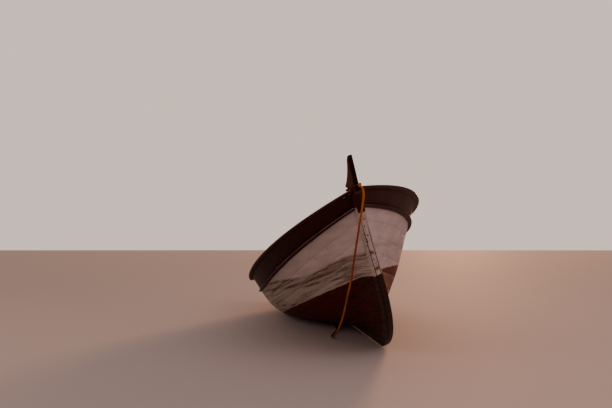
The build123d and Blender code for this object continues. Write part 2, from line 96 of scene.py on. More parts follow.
lit_spot = Vector((0, 0, 0.5))
for name, kind, place, size, power, colour in (
    ("low_sun", "SUN", (-9.0, 3.4, 1.5), 0.12, 3.0, (1.0, 0.46, 0.22)),
    ("port_bow_lamp", "AREA", (6.0, 4.5, 4.0), 5.0, 76.0, (1.0, 0.67, 0.70)),
    ("starboard_bow_lamp", "AREA", (4.0, -6.5, 3.0), 4.0, 58.0, (1.0, 0.67, 0.60)),
):
    lamp_data = bpy.data.lights.new(name, kind)
    if kind == "SUN":
        lamp_data.angle = size
    else:
        lamp_data.size = size
    lamp_data.energy = power
    lamp_data.color = colour
    lamp = bpy.data.objects.new(name, lamp_data)
    lamp.location = place
    lamp.rotation_euler = (lit_spot - lamp.location).to_track_quat("-Z", "Y").to_euler()
    lamp.visible_camera = False
    bpy.context.scene.collection.objects.link(lamp)

# Painter: a three-strand rope of faded orange fibre, redder in its middle part, soiled in blotches
# and darkened near the ground by dirt and painted shade. It leaves its turn round the stem head,
# hangs down off the starboard bow and lies in under the boat, with the rest of it coiled there.
rope_thick = 0.014
rope_down = [
    (2.4006, -0.1430, 1.1179), (2.4180, -0.1310, 1.1090), (2.4250, -0.1200, 1.0870),
    (2.4210, -0.1160, 1.0570), (2.3980, -0.1160, 1.0170), (2.3500, -0.1150, 0.9640),
    (2.2800, -0.1140, 0.8970), (2.1900, -0.1090, 0.8150), (2.0750, -0.1030, 0.7220),
    (1.9400, -0.0920, 0.6240), (1.7900, -0.0780, 0.5260), (1.6350, -0.0710, 0.4330),
    (1.4750, -0.0600, 0.3370), (1.3200, -0.0530, 0.2380), (1.1700, -0.0520, 0.1450),
    (1.0500, -0.0630, 0.0690), (0.9700, -0.0750, 0.0240), (0.8850, -0.0810, 0.0080),
    (0.7600, -0.0570, 0.0072), (0.6250, -0.0170, 0.0072), (0.4950, 0.0230, 0.0072),
    (0.3700, 0.0430, 0.0072), (0.2500, 0.0500, 0.0072), (0.1450, 0.0540, 0.0072),
    (0.0400, 0.0550, 0.0072),
]
coil_middle = Vector((-0.012, 0.137))
coil_radii = [0.0838, 0.0700, 0.0700, 0.0838]
coil_heights = [0.0072, 0.0072, 0.0208, 0.0208]
coil_steps = 14
crossing_from = 0.6           # share of a turn after which the rope crosses over to the next
coil_points = []
for turn in range(len(coil_radii)):
    after = min(turn + 1, len(coil_radii) - 1)
    for step in range(coil_steps):
        share = max(0.0, (step / coil_steps - crossing_from) / (1 - crossing_from))
        radius = coil_radii[turn] + (coil_radii[after] - coil_radii[turn]) * share
        height = coil_heights[turn] + (coil_heights[after] - coil_heights[turn]) * share
        angle = -pi / 2 - tau * step / coil_steps
        spot = coil_middle + Vector((cos(angle), sin(angle))) * radius
        coil_points.append((spot.x, spot.y, height))

route = bpy.data.curves.new("painter_route", "CURVE")
route.dimensions = "3D"
spline = route.splines.new("NURBS")
spline.points.add(len(rope_down) + len(coil_points) - 1)
for point, place in zip(spline.points, rope_down + coil_points):
    point.co = (*place, 1)
spline.order_u = 3
spline.use_endpoint_u = True
spline.resolution_u = 12
route_line = bpy.data.objects.new("painter_route", route)
bpy.context.scene.collection.objects.link(route_line)
bpy.context.view_layer.update()
line_mesh = bpy.data.meshes.new_from_object(route_line)
rope_path = [vertex.co.copy() for vertex in line_mesh.vertices]
bpy.data.objects.remove(route_line)

strand_count = 3
strand_share = 0.268          # a strand's radius, as a share of the rope's thickness
strand_sides = 8
strand_twist = 0.045          # length of rope in which each strand goes round once
ring_step = 0.004             # between the rings of faces along a strand


def evenly(path, step):
    """The same path again, in steps of one length."""
    total = sum((b - a).length for a, b in zip(path, path[1:]))
    count = max(2, round(total / step))
    wanted = total / count
    walked = 0.0
    spots = [path[0].copy()]
    index = 0
    for number in range(1, count):
        goal = wanted * number
        while walked + (path[index + 1] - path[index]).length < goal:
            walked += (path[index + 1] - path[index]).length
            index += 1
        leg = path[index + 1] - path[index]
        spots.append(path[index] + leg * ((goal - walked) / leg.length))
    return spots + [path[-1].copy()]


def laid_rope(name, path):
    """Three strands laid round each other along a path, as one mesh with its own UV map."""
    path = evenly(path, ring_step)
    strand = rope_thick * strand_share
    lay = rope_thick / 2 - strand
    mesh = bpy.data.meshes.new(name)
    shape = bmesh.new()
    uv = shape.loops.layers.uv.new("along")
    side = (path[1] - path[0]).orthogonal().normalized()
    strands = [[] for _ in range(strand_count)]
    walked = 0.0
    for index, spot in enumerate(path):
        ahead = (path[min(index + 1, len(path) - 1)] - path[max(index - 1, 0)]).normalized()
        side = (side - ahead * side.dot(ahead)).normalized()
        over = ahead.cross(side)
        for number, rings in enumerate(strands):
            angle = tau * (walked / strand_twist + number / strand_count)
            middle = spot + (side * cos(angle) + over * sin(angle)) * lay
            ring = []
            for k in range(strand_sides):
                around = side * cos(tau * k / strand_sides) + over * sin(tau * k / strand_sides)
                ring.append(shape.verts.new(middle + around * strand))
            rings.append(ring)
        walked += ring_step
    for rings in strands:
        for row, (one, two) in enumerate(zip(rings, rings[1:])):
            for k in range(strand_sides):
                after = (k + 1) % strand_sides
                face = shape.faces.new((one[k], one[after], two[after], two[k]))
                face.smooth = True
                corners = ((k, row), (k + 1, row), (k + 1, row + 1), (k, row + 1))
                for loop, (u, v) in zip(face.loops, corners):
                    loop[uv].uv = (u / strand_sides, v * ring_step / rope_thick)
        shape.faces.new(rings[0][::-1])
        shape.faces.new(rings[-1])
    shape.to_mesh(mesh)
    shape.free()
    rope = bpy.data.objects.new(name, mesh)
    bpy.context.scene.collection.objects.link(rope)
    return rope


def node(tree, kind, **settings):
    """A shader node with its settings; a setting named in1 or in_Name goes to that input."""
    made = tree.nodes.new(kind)
    for key, value in settings.items():
        if key.startswith("in_"):
            made.inputs[key[3:].replace("_", " ")].default_value = value
        elif key[2:].isdigit():
            made.inputs[int(key[2:])].default_value = value
        else:
            setattr(made, key, value)
    return made


def wire(tree, *pairs):
    """Links each output to its input."""
    for source, target in pairs:
        tree.links.new(source, target)


def set_or_wire(tree, socket, value):
    """Gives an input a plain value, or links it if the value is another node's output."""
    if isinstance(value, bpy.types.NodeSocket):
        tree.links.new(value, socket)
    else:
        socket.default_value = value


def mix(tree, factor, one, two):
    """A colour mix; each of the three may be a socket or a value."""
    made = node(tree, "ShaderNodeMix", data_type="RGBA")
    for number, value in ((0, factor), (6, one), (7, two)):
        set_or_wire(tree, made.inputs[number], value)
    return made.outputs[2]


def sums(tree, operation, one, two=0.0, three=0.0):
    """A Math node; each operand may be a socket or a number."""
    made = node(tree, "ShaderNodeMath", operation=operation)
    for socket, value in zip(made.inputs, (one, two, three)):
        set_or_wire(tree, socket, value)
    return made.outputs[0]


def times(tree, one, two):
    """One value times another."""
    return sums(tree, "MULTIPLY", one, two)


def between(tree, value, low, high, start=0.0, end=1.0):
    """A value's place between two limits, smoothed."""
    made = node(tree, "ShaderNodeMapRange", interpolation_type="SMOOTHSTEP")
    for socket, given in zip(made.inputs, (value, low, high, start, end)):
        set_or_wire(tree, socket, given)
    return made.outputs[0]


def new_group(name, inputs, outputs):
    """An empty shader node group with those sockets, each a name and a kind."""
    tree = bpy.data.node_groups.new(name, "ShaderNodeTree")
    for direction, sockets in (("INPUT", inputs), ("OUTPUT", outputs)):
        for socket, kind in sockets:
            tree.interface.new_socket(socket, in_out=direction, socket_type="NodeSocket" + kind)
    return tree, tree.nodes.new("NodeGroupInput").outputs, tree.nodes.new("NodeGroupOutput").inputs


def group_in(tree, group, **settings):
    """The outputs of a node group placed in a material with that material's own values."""
    made = node(tree, "ShaderNodeGroup", node_tree=group)
    for key, value in settings.items():
        set_or_wire(tree, made.inputs[key], value)
    return made.outputs


def finish_of(name, roughness, specular=0.3):
    """A new material, its node tree and its shader's sockets."""
    made = bpy.data.materials.new(name)
    made.use_nodes = True
    shader = made.node_tree.nodes["Principled BSDF"]
    shader.inputs["Roughness"].default_value = roughness
    shader.inputs["Specular IOR Level"].default_value = specular
    return made, made.node_tree, shader.inputs


def bumped(tree, inputs, height, distance, strength):
    """Small relief in the finish, from a height that changes over the surface."""
    bump = node(tree, "ShaderNodeBump", in_Distance=distance, in_Strength=strength)
    wire(tree, (height, bump.inputs["Height"]), (bump.outputs[0], inputs["Normal"]))


fibre_depth = 0.0012
fibre_strength = 0.8
fibre_group, _, out = new_group("strand_fibres", [], [("Fibre", "Float")])
strand_map = node(fibre_group, "ShaderNodeUVMap", uv_map="along")
fibre_map = node(fibre_group, "ShaderNodeMapping", in_Scale=(26.0, 1.6, 1.0), in_Rotation=(0, 0, 0.35))
fibres = node(fibre_group, "ShaderNodeTexNoise", in_Scale=3.0, in_Detail=3.0)
wire(fibre_group, (strand_map.outputs[0], fibre_map.inputs[0]),
     (fibre_map.outputs[0], fibres.inputs[0]), (fibres.outputs[0], out["Fibre"]))

faded_orange = (0.56, 0.17, 0.010, 1)
red_orange = (0.30, 0.035, 0.006, 1)
bleached_fibre = (0.66, 0.28, 0.05, 1)
rope_grime = (0.16, 0.07, 0.035, 1)
ground_dirt_and_shade = (0.055, 0.018, 0.006, 1)
rope_finish, tree, inputs = finish_of("rope_fibre", 0.85, 0.15)
fibre = group_in(tree, fibre_group)["Fibre"]
place = node(tree, "ShaderNodeTexCoord").outputs["Object"]
blotches = node(tree, "ShaderNodeTexNoise", in_Scale=9.0, in_Detail=3.0)
heights = node(tree, "ShaderNodeSeparateXYZ")
wire(tree, (place, blotches.inputs[0]), (place, heights.inputs[0]))
height = heights.outputs[2]
middle_part = times(tree, between(tree, height, 0.45, 0.62), between(tree, height, 1.0, 0.84))
orange = mix(tree, middle_part, faded_orange, red_orange)
orange = mix(tree, between(tree, fibre, 0.45, 0.85), orange, bleached_fibre)
soiled = times(tree, between(tree, blotches.outputs[0], 0.52, 0.7), 0.5)
orange = mix(tree, soiled, orange, rope_grime)
# Darker towards the ground: dirt, and painted shade for where it runs under the boat.
orange = mix(tree, between(tree, height, 0.16, 0.02, 0.0, 0.7), orange, ground_dirt_and_shade)
wire(tree, (orange, inputs["Base Color"]))
bumped(tree, inputs, fibre, fibre_depth, fibre_strength)

painter = laid_rope("painter_rope", rope_path)
painter.data.materials.append(rope_finish)
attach(painter, "root")
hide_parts("painter", "painter_coil")

# The hitch: one turn of the same rope, darkened by old dirt and tar and by painted shade, hauled
# tight round the foot of the stem head under its horn and down on the cap rails. The painter leads
# away from its fore end.
heel = radians(20.83)
heeling = Matrix.Rotation(heel, 3, "X")
righting = Matrix.Rotation(-heel, 3, "X")
upright_origin = Vector((2.39151, -0.27013, -0.00962))  # from the transom's foot, in heeled directions


def laid(x, y, z):
    """Where a point of the upright boat is on the heeled one, in metres. On the upright boat X is
    forward from the transom's foot, Y is to port, and Z is up from the keel's underside."""
    return heeling @ Vector((x, y, z)) - upright_origin


head_foot = Vector((4.756, 0.0, 1.150))  # where the stem head's fore face starts
stem_rake = 0.62              # metres forward for each metre up
turn_height = 1.1829
turn_half = 0.0230
turn_ahead = 0.008            # from the stem head's fore face to the middle of the rope
turn_aft = 0.2045             # from the foot of that face back to the rope under the horn
turn_front = head_foot.x + stem_rake * (turn_height - head_foot.z) + turn_ahead
turn_back = head_foot.x - turn_aft
corner = 0.0075
corner_steps = 4
turn_points = []
for x_sign, y_sign, quarter in ((1, 1, 0), (-1, 1, 1), (-1, -1, 2), (1, -1, 3)):
    for step in range(corner_steps + 1):
        angle = pi / 2 * (quarter + step / corner_steps)
        x = (turn_front - corner if x_sign > 0 else turn_back + corner) + corner * cos(angle)
        y = (turn_half - corner) * y_sign + corner * sin(angle)
        turn_points.append(laid(x, y, turn_height))
turn_points.append(turn_points[0])

# The turn's dark colours are dirt and tar and also painted shade, for where it lies in shadow.
tar_and_shade_fibre = (0.040, 0.010, 0.003, 1)
tar_and_shade_ridge = (0.16, 0.050, 0.010, 1)
dirt_and_shade_rope, tree, inputs = finish_of("dirt_and_shade_rope", 0.9, 0.1)
fibre = group_in(tree, fibre_group)["Fibre"]
tar_and_shade = mix(tree, between(tree, fibre, 0.4, 0.75), tar_and_shade_fibre, tar_and_shade_ridge)
wire(tree, (tar_and_shade, inputs["Base Color"]))
bumped(tree, inputs, fibre, fibre_depth, fibre_strength)

hitch = laid_rope("painter_turn", turn_points)
hitch.data.materials.append(dirt_and_shade_rope)
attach(hitch, "root")
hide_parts("painter_hitch")

# Planking: eight strakes a side of carvel planking, nailed to the frames, with the transom across
# their ends. Outside they are cream over a red bottom, rubbed down in streaks above the waterline
# and to the timber at the forefoot, and inside they are pale grey.
waterline_aft = 0.0287        # height of the waterline abreast of the transom's foot
waterline_rise = 0.138        # metres up for each metre forward
bow_dip = 0.034               # how much lower the line is at the starboard bow
port_from = 0.027             # further to port of the middle plane than this, the port side's paint
hood_reach = 0.0325           # all faces nearer the boat's middle plane than this are painted as outside
plank_grain = (0.8, 16.0, 26.0)
paint_relief = 0.0012
fresh_cream = (0.66, 0.575, 0.56, 1)
dull_cream = (0.56, 0.48, 0.475, 1)
rubbed_cream = (0.46, 0.395, 0.33, 1)
streak_brown = (0.110, 0.056, 0.030, 1)
port_red = (0.125, 0.0045, 0.0025, 1)
# the starboard red is the port red darkened as painted shade, for the side turned from the light
shaded_starboard_red = (0.080, 0.0030, 0.0018, 1)
blotch_red = (0.045, 0.0026, 0.0018, 1)
dusty_red = (0.10, 0.030, 0.020, 1)
inside_grey = (0.45, 0.43, 0.40, 1)
damp_brown = (0.12, 0.095, 0.07, 1)

# Where a point lies on the upright boat, and how far its face looks outward, up and ahead.
boat_place, _, out = new_group("place_on_the_boat", [], [
    ("Place", "Vector"), ("Outward", "Float"), ("Upward", "Float"), ("Ahead", "Float")])
coordinate = node(boat_place, "ShaderNodeTexCoord")
upright = node(boat_place, "ShaderNodeMapping", in_Location=righting @ upright_origin,
               in_Rotation=(-heel, 0, 0))
facing = node(boat_place, "ShaderNodeVectorRotate", rotation_type="X_AXIS", in_Angle=-heel)
spot = node(boat_place, "ShaderNodeSeparateXYZ")
face = node(boat_place, "ShaderNodeSeparateXYZ")
wire(boat_place, (coordinate.outputs["Object"], upright.inputs[0]),
     (coordinate.outputs["Normal"], facing.inputs[0]), (upright.outputs[0], out["Place"]),
     (upright.outputs[0], spot.inputs[0]), (facing.outputs[0], face.inputs[0]))
outboard = times(boat_place, face.outputs[1], sums(boat_place, "SIGN", spot.outputs[1]))
endways = between(boat_place, spot.outputs[0], 0.45, 0.25, 0.5, -0.9)
outward = sums(boat_place, "SUBTRACT", outboard, times(boat_place, face.outputs[2], 0.75))
wire(boat_place, (sums(boat_place, "MULTIPLY_ADD", endways, face.outputs[0], outward), out["Outward"]),
     (face.outputs[2], out["Upward"]), (face.outputs[0], out["Ahead"]))

# Sawn grain: rings drawn out along the timber, with finer lines among them.
grain_group, given, out = new_group(
    "sawn_grain",
    [("Place", "Vector"), ("Stretch", "Vector"), ("Pale", "Color"), ("Dark", "Color")],
    [("Color", "Color"), ("Height", "Float")])
stretched = node(grain_group, "ShaderNodeVectorMath", operation="MULTIPLY")
rings = node(grain_group, "ShaderNodeTexNoise", in_Scale=1.7, in_Detail=5.0, in_Roughness=0.62,
             in_Distortion=0.5)
lines = node(grain_group, "ShaderNodeTexNoise", in_Scale=8.0, in_Detail=4.0, in_Roughness=0.7)
wire(grain_group, (given["Place"], stretched.inputs[0]), (given["Stretch"], stretched.inputs[1]),
     (stretched.outputs[0], rings.inputs[0]), (stretched.outputs[0], lines.inputs[0]))
height = sums(grain_group, "ADD", times(grain_group, rings.outputs[0], 0.6),
              times(grain_group, lines.outputs[0], 0.4))
colour = mix(grain_group, between(grain_group, height, 0.38, 0.62), given["Dark"], given["Pale"])
wire(grain_group, (colour, out["Color"]), (height, out["Height"]))

# Worn paint: where the timber is bare, how far the paint stands over it, and broad blotches.
wear_group, given, out = new_group(
    "worn_paint",
    [("Place", "Vector"), ("Stretch", "Vector"), ("Wear", "Float")],
    [("Bare", "Float"), ("Height", "Float"), ("Blotch", "Float")])
stretched = node(wear_group, "ShaderNodeVectorMath", operation="MULTIPLY")
broad = node(wear_group, "ShaderNodeTexNoise", in_Scale=1.1, in_Detail=4.0, in_Roughness=0.6)
chips = node(wear_group, "ShaderNodeTexNoise", in_Scale=7.0, in_Detail=6.0, in_Roughness=0.65,
             in_Distortion=0.2)
wire(wear_group, (given["Place"], stretched.inputs[0]), (given["Stretch"], stretched.inputs[1]),
     (stretched.outputs[0], broad.inputs[0]), (stretched.outputs[0], chips.inputs[0]))
amount = sums(wear_group, "ADD", times(wear_group, broad.outputs[0], 0.45),
              times(wear_group, chips.outputs[0], 0.55))
limit = sums(wear_group, "SUBTRACT", 0.74, times(wear_group, given["Wear"], 0.46))
bare = between(wear_group, amount, limit, sums(wear_group, "ADD", limit, 0.04))
wire(wear_group, (bare, out["Bare"]), (sums(wear_group, "SUBTRACT", 1.0, bare), out["Height"]),
     (broad.outputs[0], out["Blotch"]))

# The painted waterline: how far above it a point is, whether it is on the bottom or to starboard,
# its place along, across and up, and the streaks that salt and rubbing have drawn there.
line_group, given, out = new_group("waterline", [("Place", "Vector")], [
    ("Above", "Float"), ("Bottom", "Float"), ("Starboard", "Float"), ("Forward", "Float"),
    ("Across", "Float"), ("Up", "Float"), ("Streak", "Float")])
axes = node(line_group, "ShaderNodeSeparateXYZ")
ragged = node(line_group, "ShaderNodeTexNoise", in_Scale=14.0, in_Detail=4.0)
wire(line_group, (given["Place"], axes.inputs[0]), (given["Place"], ragged.inputs[0]))
along, across, up = axes.outputs
wobble = times(line_group, sums(line_group, "SUBTRACT", ragged.outputs[0], 0.5), 0.018)
level = sums(line_group, "MULTIPLY_ADD", along, waterline_rise, waterline_aft)
to_starboard = between(line_group, across, port_from, port_from - 0.005)
dip = times(line_group, between(line_group, along, 4.2, 4.45, 0.0, bow_dip), to_starboard)
above = sums(line_group, "SUBTRACT", sums(line_group, "SUBTRACT", up, level),
             sums(line_group, "SUBTRACT", wobble, dip))
sheared = node(line_group, "ShaderNodeCombineXYZ")
drawn_out = node(line_group, "ShaderNodeVectorMath", operation="MULTIPLY", in1=(2.0, 2.5, 70.0))
streaks = node(line_group, "ShaderNodeTexNoise", in_Scale=1.0, in_Detail=6.0, in_Roughness=0.68)
wire(line_group, (along, sheared.inputs[0]), (across, sheared.inputs[1]), (above, sheared.inputs[2]),
     (sheared.outputs[0], drawn_out.inputs[0]), (drawn_out.outputs[0], streaks.inputs[0]),
     (above, out["Above"]), (between(line_group, above, 0.003, -0.003), out["Bottom"]),
     (to_starboard, out["Starboard"]), (along, out["Forward"]), (across, out["Across"]),
     (up, out["Up"]), (streaks.outputs[0], out["Streak"]))


merge_within = 0.00002
flat_within = radians(0.4)
sharp_from = radians(35)
smooth_under = radians(40)


def dressed(name, finish, edge, segments=2):
    """A timber's own shape with its sharp edges eased, standing in for the plain one."""
    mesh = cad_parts[name].data.copy()
    mesh.materials.clear()
    timber = bpy.data.objects.new(name + "_timber", mesh)
    bpy.context.scene.collection.objects.link(timber)
    bpy.ops.object.select_all(action="DESELECT")
    bpy.context.view_layer.objects.active = timber
    timber.select_set(True)
    bpy.ops.object.mode_set(mode="EDIT")
    bpy.ops.mesh.select_all(action="SELECT")
    bpy.ops.mesh.remove_doubles(threshold=merge_within)
    bpy.ops.mesh.dissolve_limited(angle_limit=flat_within)
    bpy.ops.object.mode_set(mode="OBJECT")
    easing = timber.modifiers.new("eased_edges", "BEVEL")
    easing.width = edge
    easing.segments = segments
    easing.limit_method = "ANGLE"
    easing.angle_limit = sharp_from
    easing.use_clamp_overlap = True
    bpy.ops.object.modifier_apply(modifier=easing.name)
    bpy.ops.object.shade_smooth_by_angle(angle=smooth_under)
    mesh.materials.append(finish)
    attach(timber, "root")
    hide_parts(name)
    return timber


planking, tree, inputs = finish_of("planking_paint", 0.55, 0.06)
where = group_in(tree, boat_place)
line = group_in(tree, line_group, Place=where["Place"])
above = line["Above"]
bottom = line["Bottom"]
starboard = line["Starboard"]
forward = line["Forward"]
up = line["Up"]
streaky = line["Streak"]

# Rubbed band above the waterline, with the three streaks that stand out and the fine ones.
band_height = between(tree, forward, 3.1, 3.85, 0.27, 0.17)
under_top = sums(tree, "SUBTRACT", band_height, above)
rubbed = times(tree, between(tree, above, -0.003, 0.006), between(tree, under_top, -0.008, 0.02))
rubbed = times(tree, rubbed, between(tree, starboard, 0.0, 1.0, 0.22, 1.0))
rubbed = times(tree, rubbed, between(tree, forward, 0.1, 0.6, 0.12, 1.0))
stain = times(tree, between(tree, under_top, -0.012, 0.006), between(tree, under_top, 0.055, 0.02))
for height, lift, reach, aft_end, fore_end in (
    (0.645, 0.052, 0.028, 2.6, 4.25),
    (0.622, 0.012, 0.015, 3.2, 4.15),
    (0.450, 0.000, 0.016, 2.3, 3.10),
):
    middle = between(tree, forward, 3.3, 4.2, height, height + lift)
    streak = between(tree, sums(tree, "ABSOLUTE", sums(tree, "SUBTRACT", up, middle)), reach, 0.004)
    streak = times(tree, streak, between(tree, forward, aft_end, aft_end + 0.3))
    streak = times(tree, streak, between(tree, forward, fore_end + 0.15, fore_end - 0.05))
    stain = sums(tree, "MAXIMUM", stain, streak)
stain = sums(tree, "MAXIMUM", stain, times(tree, between(tree, streaky, 0.46, 0.64), 0.75))
stain = times(tree, stain, between(tree, streaky, 0.42, 0.55, 0.06, 1.0))
stain = times(tree, stain, rubbed)

# Forefoot: forward of a line that slopes up and forward, the red is worn off to wet timber.
seam_band = sums(tree, "SUBTRACT", forward, times(tree, up, 1.8))
seam_band = sums(tree, "ADD", seam_band, times(tree, streaky, 0.5))
forefoot = times(tree, between(tree, seam_band, 3.05, 3.35), bottom)
forefoot = times(tree, forefoot, between(tree, starboard, 0.0, 1.0, 0.25, 1.0))
forefoot = times(tree, forefoot, between(tree, streaky, 0.42, 0.58, 0.42, 1.0))
wear = sums(tree, "ADD", times(tree, rubbed, 0.16), times(tree, forefoot, 0.75))
wear = sums(tree, "ADD", wear, 0.10)
worn = group_in(tree, wear_group, Place=where["Place"], Stretch=(1.0, 8.0, 20.0), Wear=wear)
grain = group_in(tree, grain_group, Place=where["Place"], Stretch=plank_grain,
                 Pale=(0.30, 0.23, 0.17, 1), Dark=(0.11, 0.075, 0.05, 1))
wet_grain = group_in(tree, grain_group, Place=where["Place"], Stretch=plank_grain,
                     Pale=(0.056, 0.024, 0.014, 1), Dark=(0.020, 0.007, 0.004, 1))

# Outside and inside colours, and which of them a face takes.
cream = mix(tree, between(tree, worn["Blotch"], 0.35, 0.65), fresh_cream, dull_cream)
cream = mix(tree, times(tree, rubbed, 0.8), cream, rubbed_cream)
cream = mix(tree, times(tree, stain, 0.95), cream, streak_brown)
# Red bottom: the starboard side takes a darker copy of the red, as painted shade.
red = mix(tree, starboard, port_red, shaded_starboard_red)
red = mix(tree, between(tree, worn["Blotch"], 0.35, 0.7, 0.0, 0.7), red, blotch_red)
red = mix(tree, times(tree, between(tree, streaky, 0.50, 0.76), 0.16), red, dusty_red)
coat = mix(tree, bottom, cream, red)
timber = mix(tree, bottom, grain["Color"], wet_grain["Color"])
outside = mix(tree, worn["Bare"], coat, timber)
inner = group_in(tree, wear_group, Place=where["Place"], Stretch=(2.0, 8.0, 8.0), Wear=0.30)
inside = mix(tree, inner["Bare"], inside_grey, grain["Color"])
damp = node(tree, "ShaderNodeTexNoise", in_Scale=3.0, in_Detail=5.0, in_Roughness=0.7)
wire(tree, (where["Place"], damp.inputs[0]))
inside = mix(tree, times(tree, between(tree, damp.outputs[0], 0.45, 0.75), 0.45), inside, damp_brown)
at_backbone = between(tree, sums(tree, "ABSOLUTE", line["Across"]), hood_reach + 0.001, hood_reach - 0.001)
seen_outside = sums(tree, "MAXIMUM", between(tree, where["Outward"], -0.02, 0.02), at_backbone)
colour = mix(tree, seen_outside, inside, outside)
wire(tree, (colour, inputs["Base Color"]))
height = sums(tree, "ADD", times(tree, grain["Height"], 0.5), worn["Height"])
wire(tree, (sums(tree, "ADD", 0.55, times(tree, worn["Bare"], 0.3)), inputs["Roughness"]))
bumped(tree, inputs, height, paint_relief, 0.6)
strakes = ["garboard", "second", "third", "fourth", "fifth", "sixth", "seventh", "eighth"]
planks = {name: dressed(name + "_strakes", planking, edge=0.0008) for name in strakes}
dressed("transom", planking, edge=0.003)

# Bulwark strakes: the top plank of each side, above the rub rail, nailed to the frame heads as
# the other planks are and painted dark brown.
brown_coat = (0.042, 0.0046, 0.0020, 1)


def darker(colour, share):
    """A colour at a share of its brightness."""
    return [share * value for value in colour[:3]] + [1]


def timber_finish(name, pale, dark, paint=None, wear=0.3, stretch=(1.2, 16.0, 16.0), roughness=0.7,
                  soil=0.25, dust=0.0, dust_colour=(0.26, 0.16, 0.13, 1), specular=0.3, painted_shade_ahead=0.0):
    """Timber with its grain, perhaps under worn paint, with dirt in patches, dust on the faces that
    look up (on the rails also a painted highlight), and painted shade on those that look ahead."""
    made, tree, inputs = finish_of(name, roughness, specular)
    where = group_in(tree, boat_place)
    place = where["Place"]
    grain = group_in(tree, grain_group, Place=place, Stretch=stretch, Pale=pale, Dark=dark)
    colour = grain["Color"]
    height = times(tree, grain["Height"], 0.5)
    if paint:
        worn = group_in(tree, wear_group, Place=place, Stretch=(3.0, 9.0, 9.0), Wear=wear)
        coat = mix(tree, between(tree, worn["Blotch"], 0.35, 0.7), paint, darker(paint, 0.72))
        colour = mix(tree, worn["Bare"], coat, colour)
        height = sums(tree, "ADD", times(tree, height, 0.4), worn["Height"])
    dirt = node(tree, "ShaderNodeTexNoise", in_Scale=2.3, in_Detail=5.0, in_Roughness=0.7)
    wire(tree, (place, dirt.inputs[0]))
    soiled = times(tree, between(tree, dirt.outputs[0], 0.45, 0.75), soil)
    colour = mix(tree, soiled, colour, darker(dark, 0.4))
    # Dust on the faces that look up; on the rails it also paints a pale highlight along their tops.
    if dust:
        settled = times(tree, between(tree, where["Upward"], 0.15, 0.7), dust)
        settled = times(tree, settled, between(tree, dirt.outputs[0], 0.3, 0.6, 0.4, 1.0))
        colour = mix(tree, settled, colour, dust_colour)
    # Painted shade: faces that look ahead are darkened.
    if painted_shade_ahead:
        shade_on_fore_faces = between(tree, where["Ahead"], 0.3, 0.7, 0.0, painted_shade_ahead)
        colour = mix(tree, shade_on_fore_faces, colour, darker(dark, 0.3))
    dullness = sums(tree, "ADD", roughness - 0.12, times(tree, grain["Height"], 0.3))
    wire(tree, (colour, inputs["Base Color"]), (dullness, inputs["Roughness"]))
    bumped(tree, inputs, height, paint_relief, 0.6)
    return made


brown = timber_finish("brown_paint", (0.11, 0.050, 0.028, 1), (0.045, 0.018, 0.010, 1), brown_coat,
                      wear=0.14, roughness=0.5, soil=0.2, dust=0.25, specular=0.12)
planks["bulwark"] = dressed("bulwark_strakes", brown, edge=0.0015)

# Rails: cap rails over the frame heads and planks, inwales inside them, and a rounded rub rail
# along the bottom of each bulwark, all painted the same dark brown. The cap rails and the rub rails
# are paler on top, with dust and a painted highlight.
rail_dust_and_highlight = (0.40, 0.31, 0.30, 1)
# each rail's dust amount also paints a pale highlight along its top
for name, ease, dust in (("cap_rails", 0.007, 0.5), ("rub_rails", 0.006, 0.9)):
    worn_and_highlit_brown = timber_finish(name + "_paint", (0.20, 0.10, 0.06, 1), (0.08, 0.036, 0.02, 1), brown_coat,
                                 wear=0.30, roughness=0.5, soil=0.1, dust=dust, dust_colour=rail_dust_and_highlight,
                                 specular=0.12)
    dressed(name, worn_and_highlit_brown, edge=ease, segments=3)
dressed("inwales", brown, edge=0.003, segments=3)

# Backbone: the keel and the stem, scarfed together, with the sternpost aft. The stem is brown
# with the bulwarks, cream down to the waterline, and stained bare timber below it, with a dark line
# of pitch and painted gap shade down each side of the stem band.
brown_from = 1.060            # height on the upright stem where the brown paint starts
# The dark lines beside the stem band are pitch, with painted shade from the gap between band and stem.
pitch_out = 0.0152            # from the middle of the stem to each line of pitch
pitch_top = 0.98              # height on the upright stem where the pitch has faded out
stem_cream = (0.56, 0.49, 0.45, 1)
salted_cream = (0.40, 0.335, 0.275, 1)
stem_red = (0.060, 0.006, 0.004, 1)
pitch_and_gap_shade = (0.020, 0.010, 0.007, 1)
backbone, tree, inputs = finish_of("backbone_paint", 0.6, 0.15)
where = group_in(tree, boat_place)
line = group_in(tree, line_group, Place=where["Place"])
wear = sums(tree, "MULTIPLY_ADD", line["Bottom"], 0.62, 0.24)
worn = group_in(tree, wear_group, Place=where["Place"], Stretch=(6.0, 9.0, 6.0), Wear=wear)
grain = group_in(tree, grain_group, Place=where["Place"], Stretch=(6.0, 24.0, 9.0),
                 Pale=(0.30, 0.22, 0.16, 1), Dark=(0.10, 0.065, 0.045, 1))
wet_grain = group_in(tree, grain_group, Place=where["Place"], Stretch=(2.0, 24.0, 22.0),
                     Pale=(0.062, 0.026, 0.015, 1), Dark=(0.020, 0.008, 0.005, 1))
cream = mix(tree, between(tree, line["Streak"], 0.40, 0.62), stem_cream, salted_cream)
coat = mix(tree, line["Bottom"], cream, stem_red)
coat = mix(tree, between(tree, line["Up"], brown_from - 0.002, brown_from + 0.002), coat, brown_coat)
timber = mix(tree, line["Bottom"], grain["Color"], wet_grain["Color"])
colour = mix(tree, worn["Bare"], coat, timber)
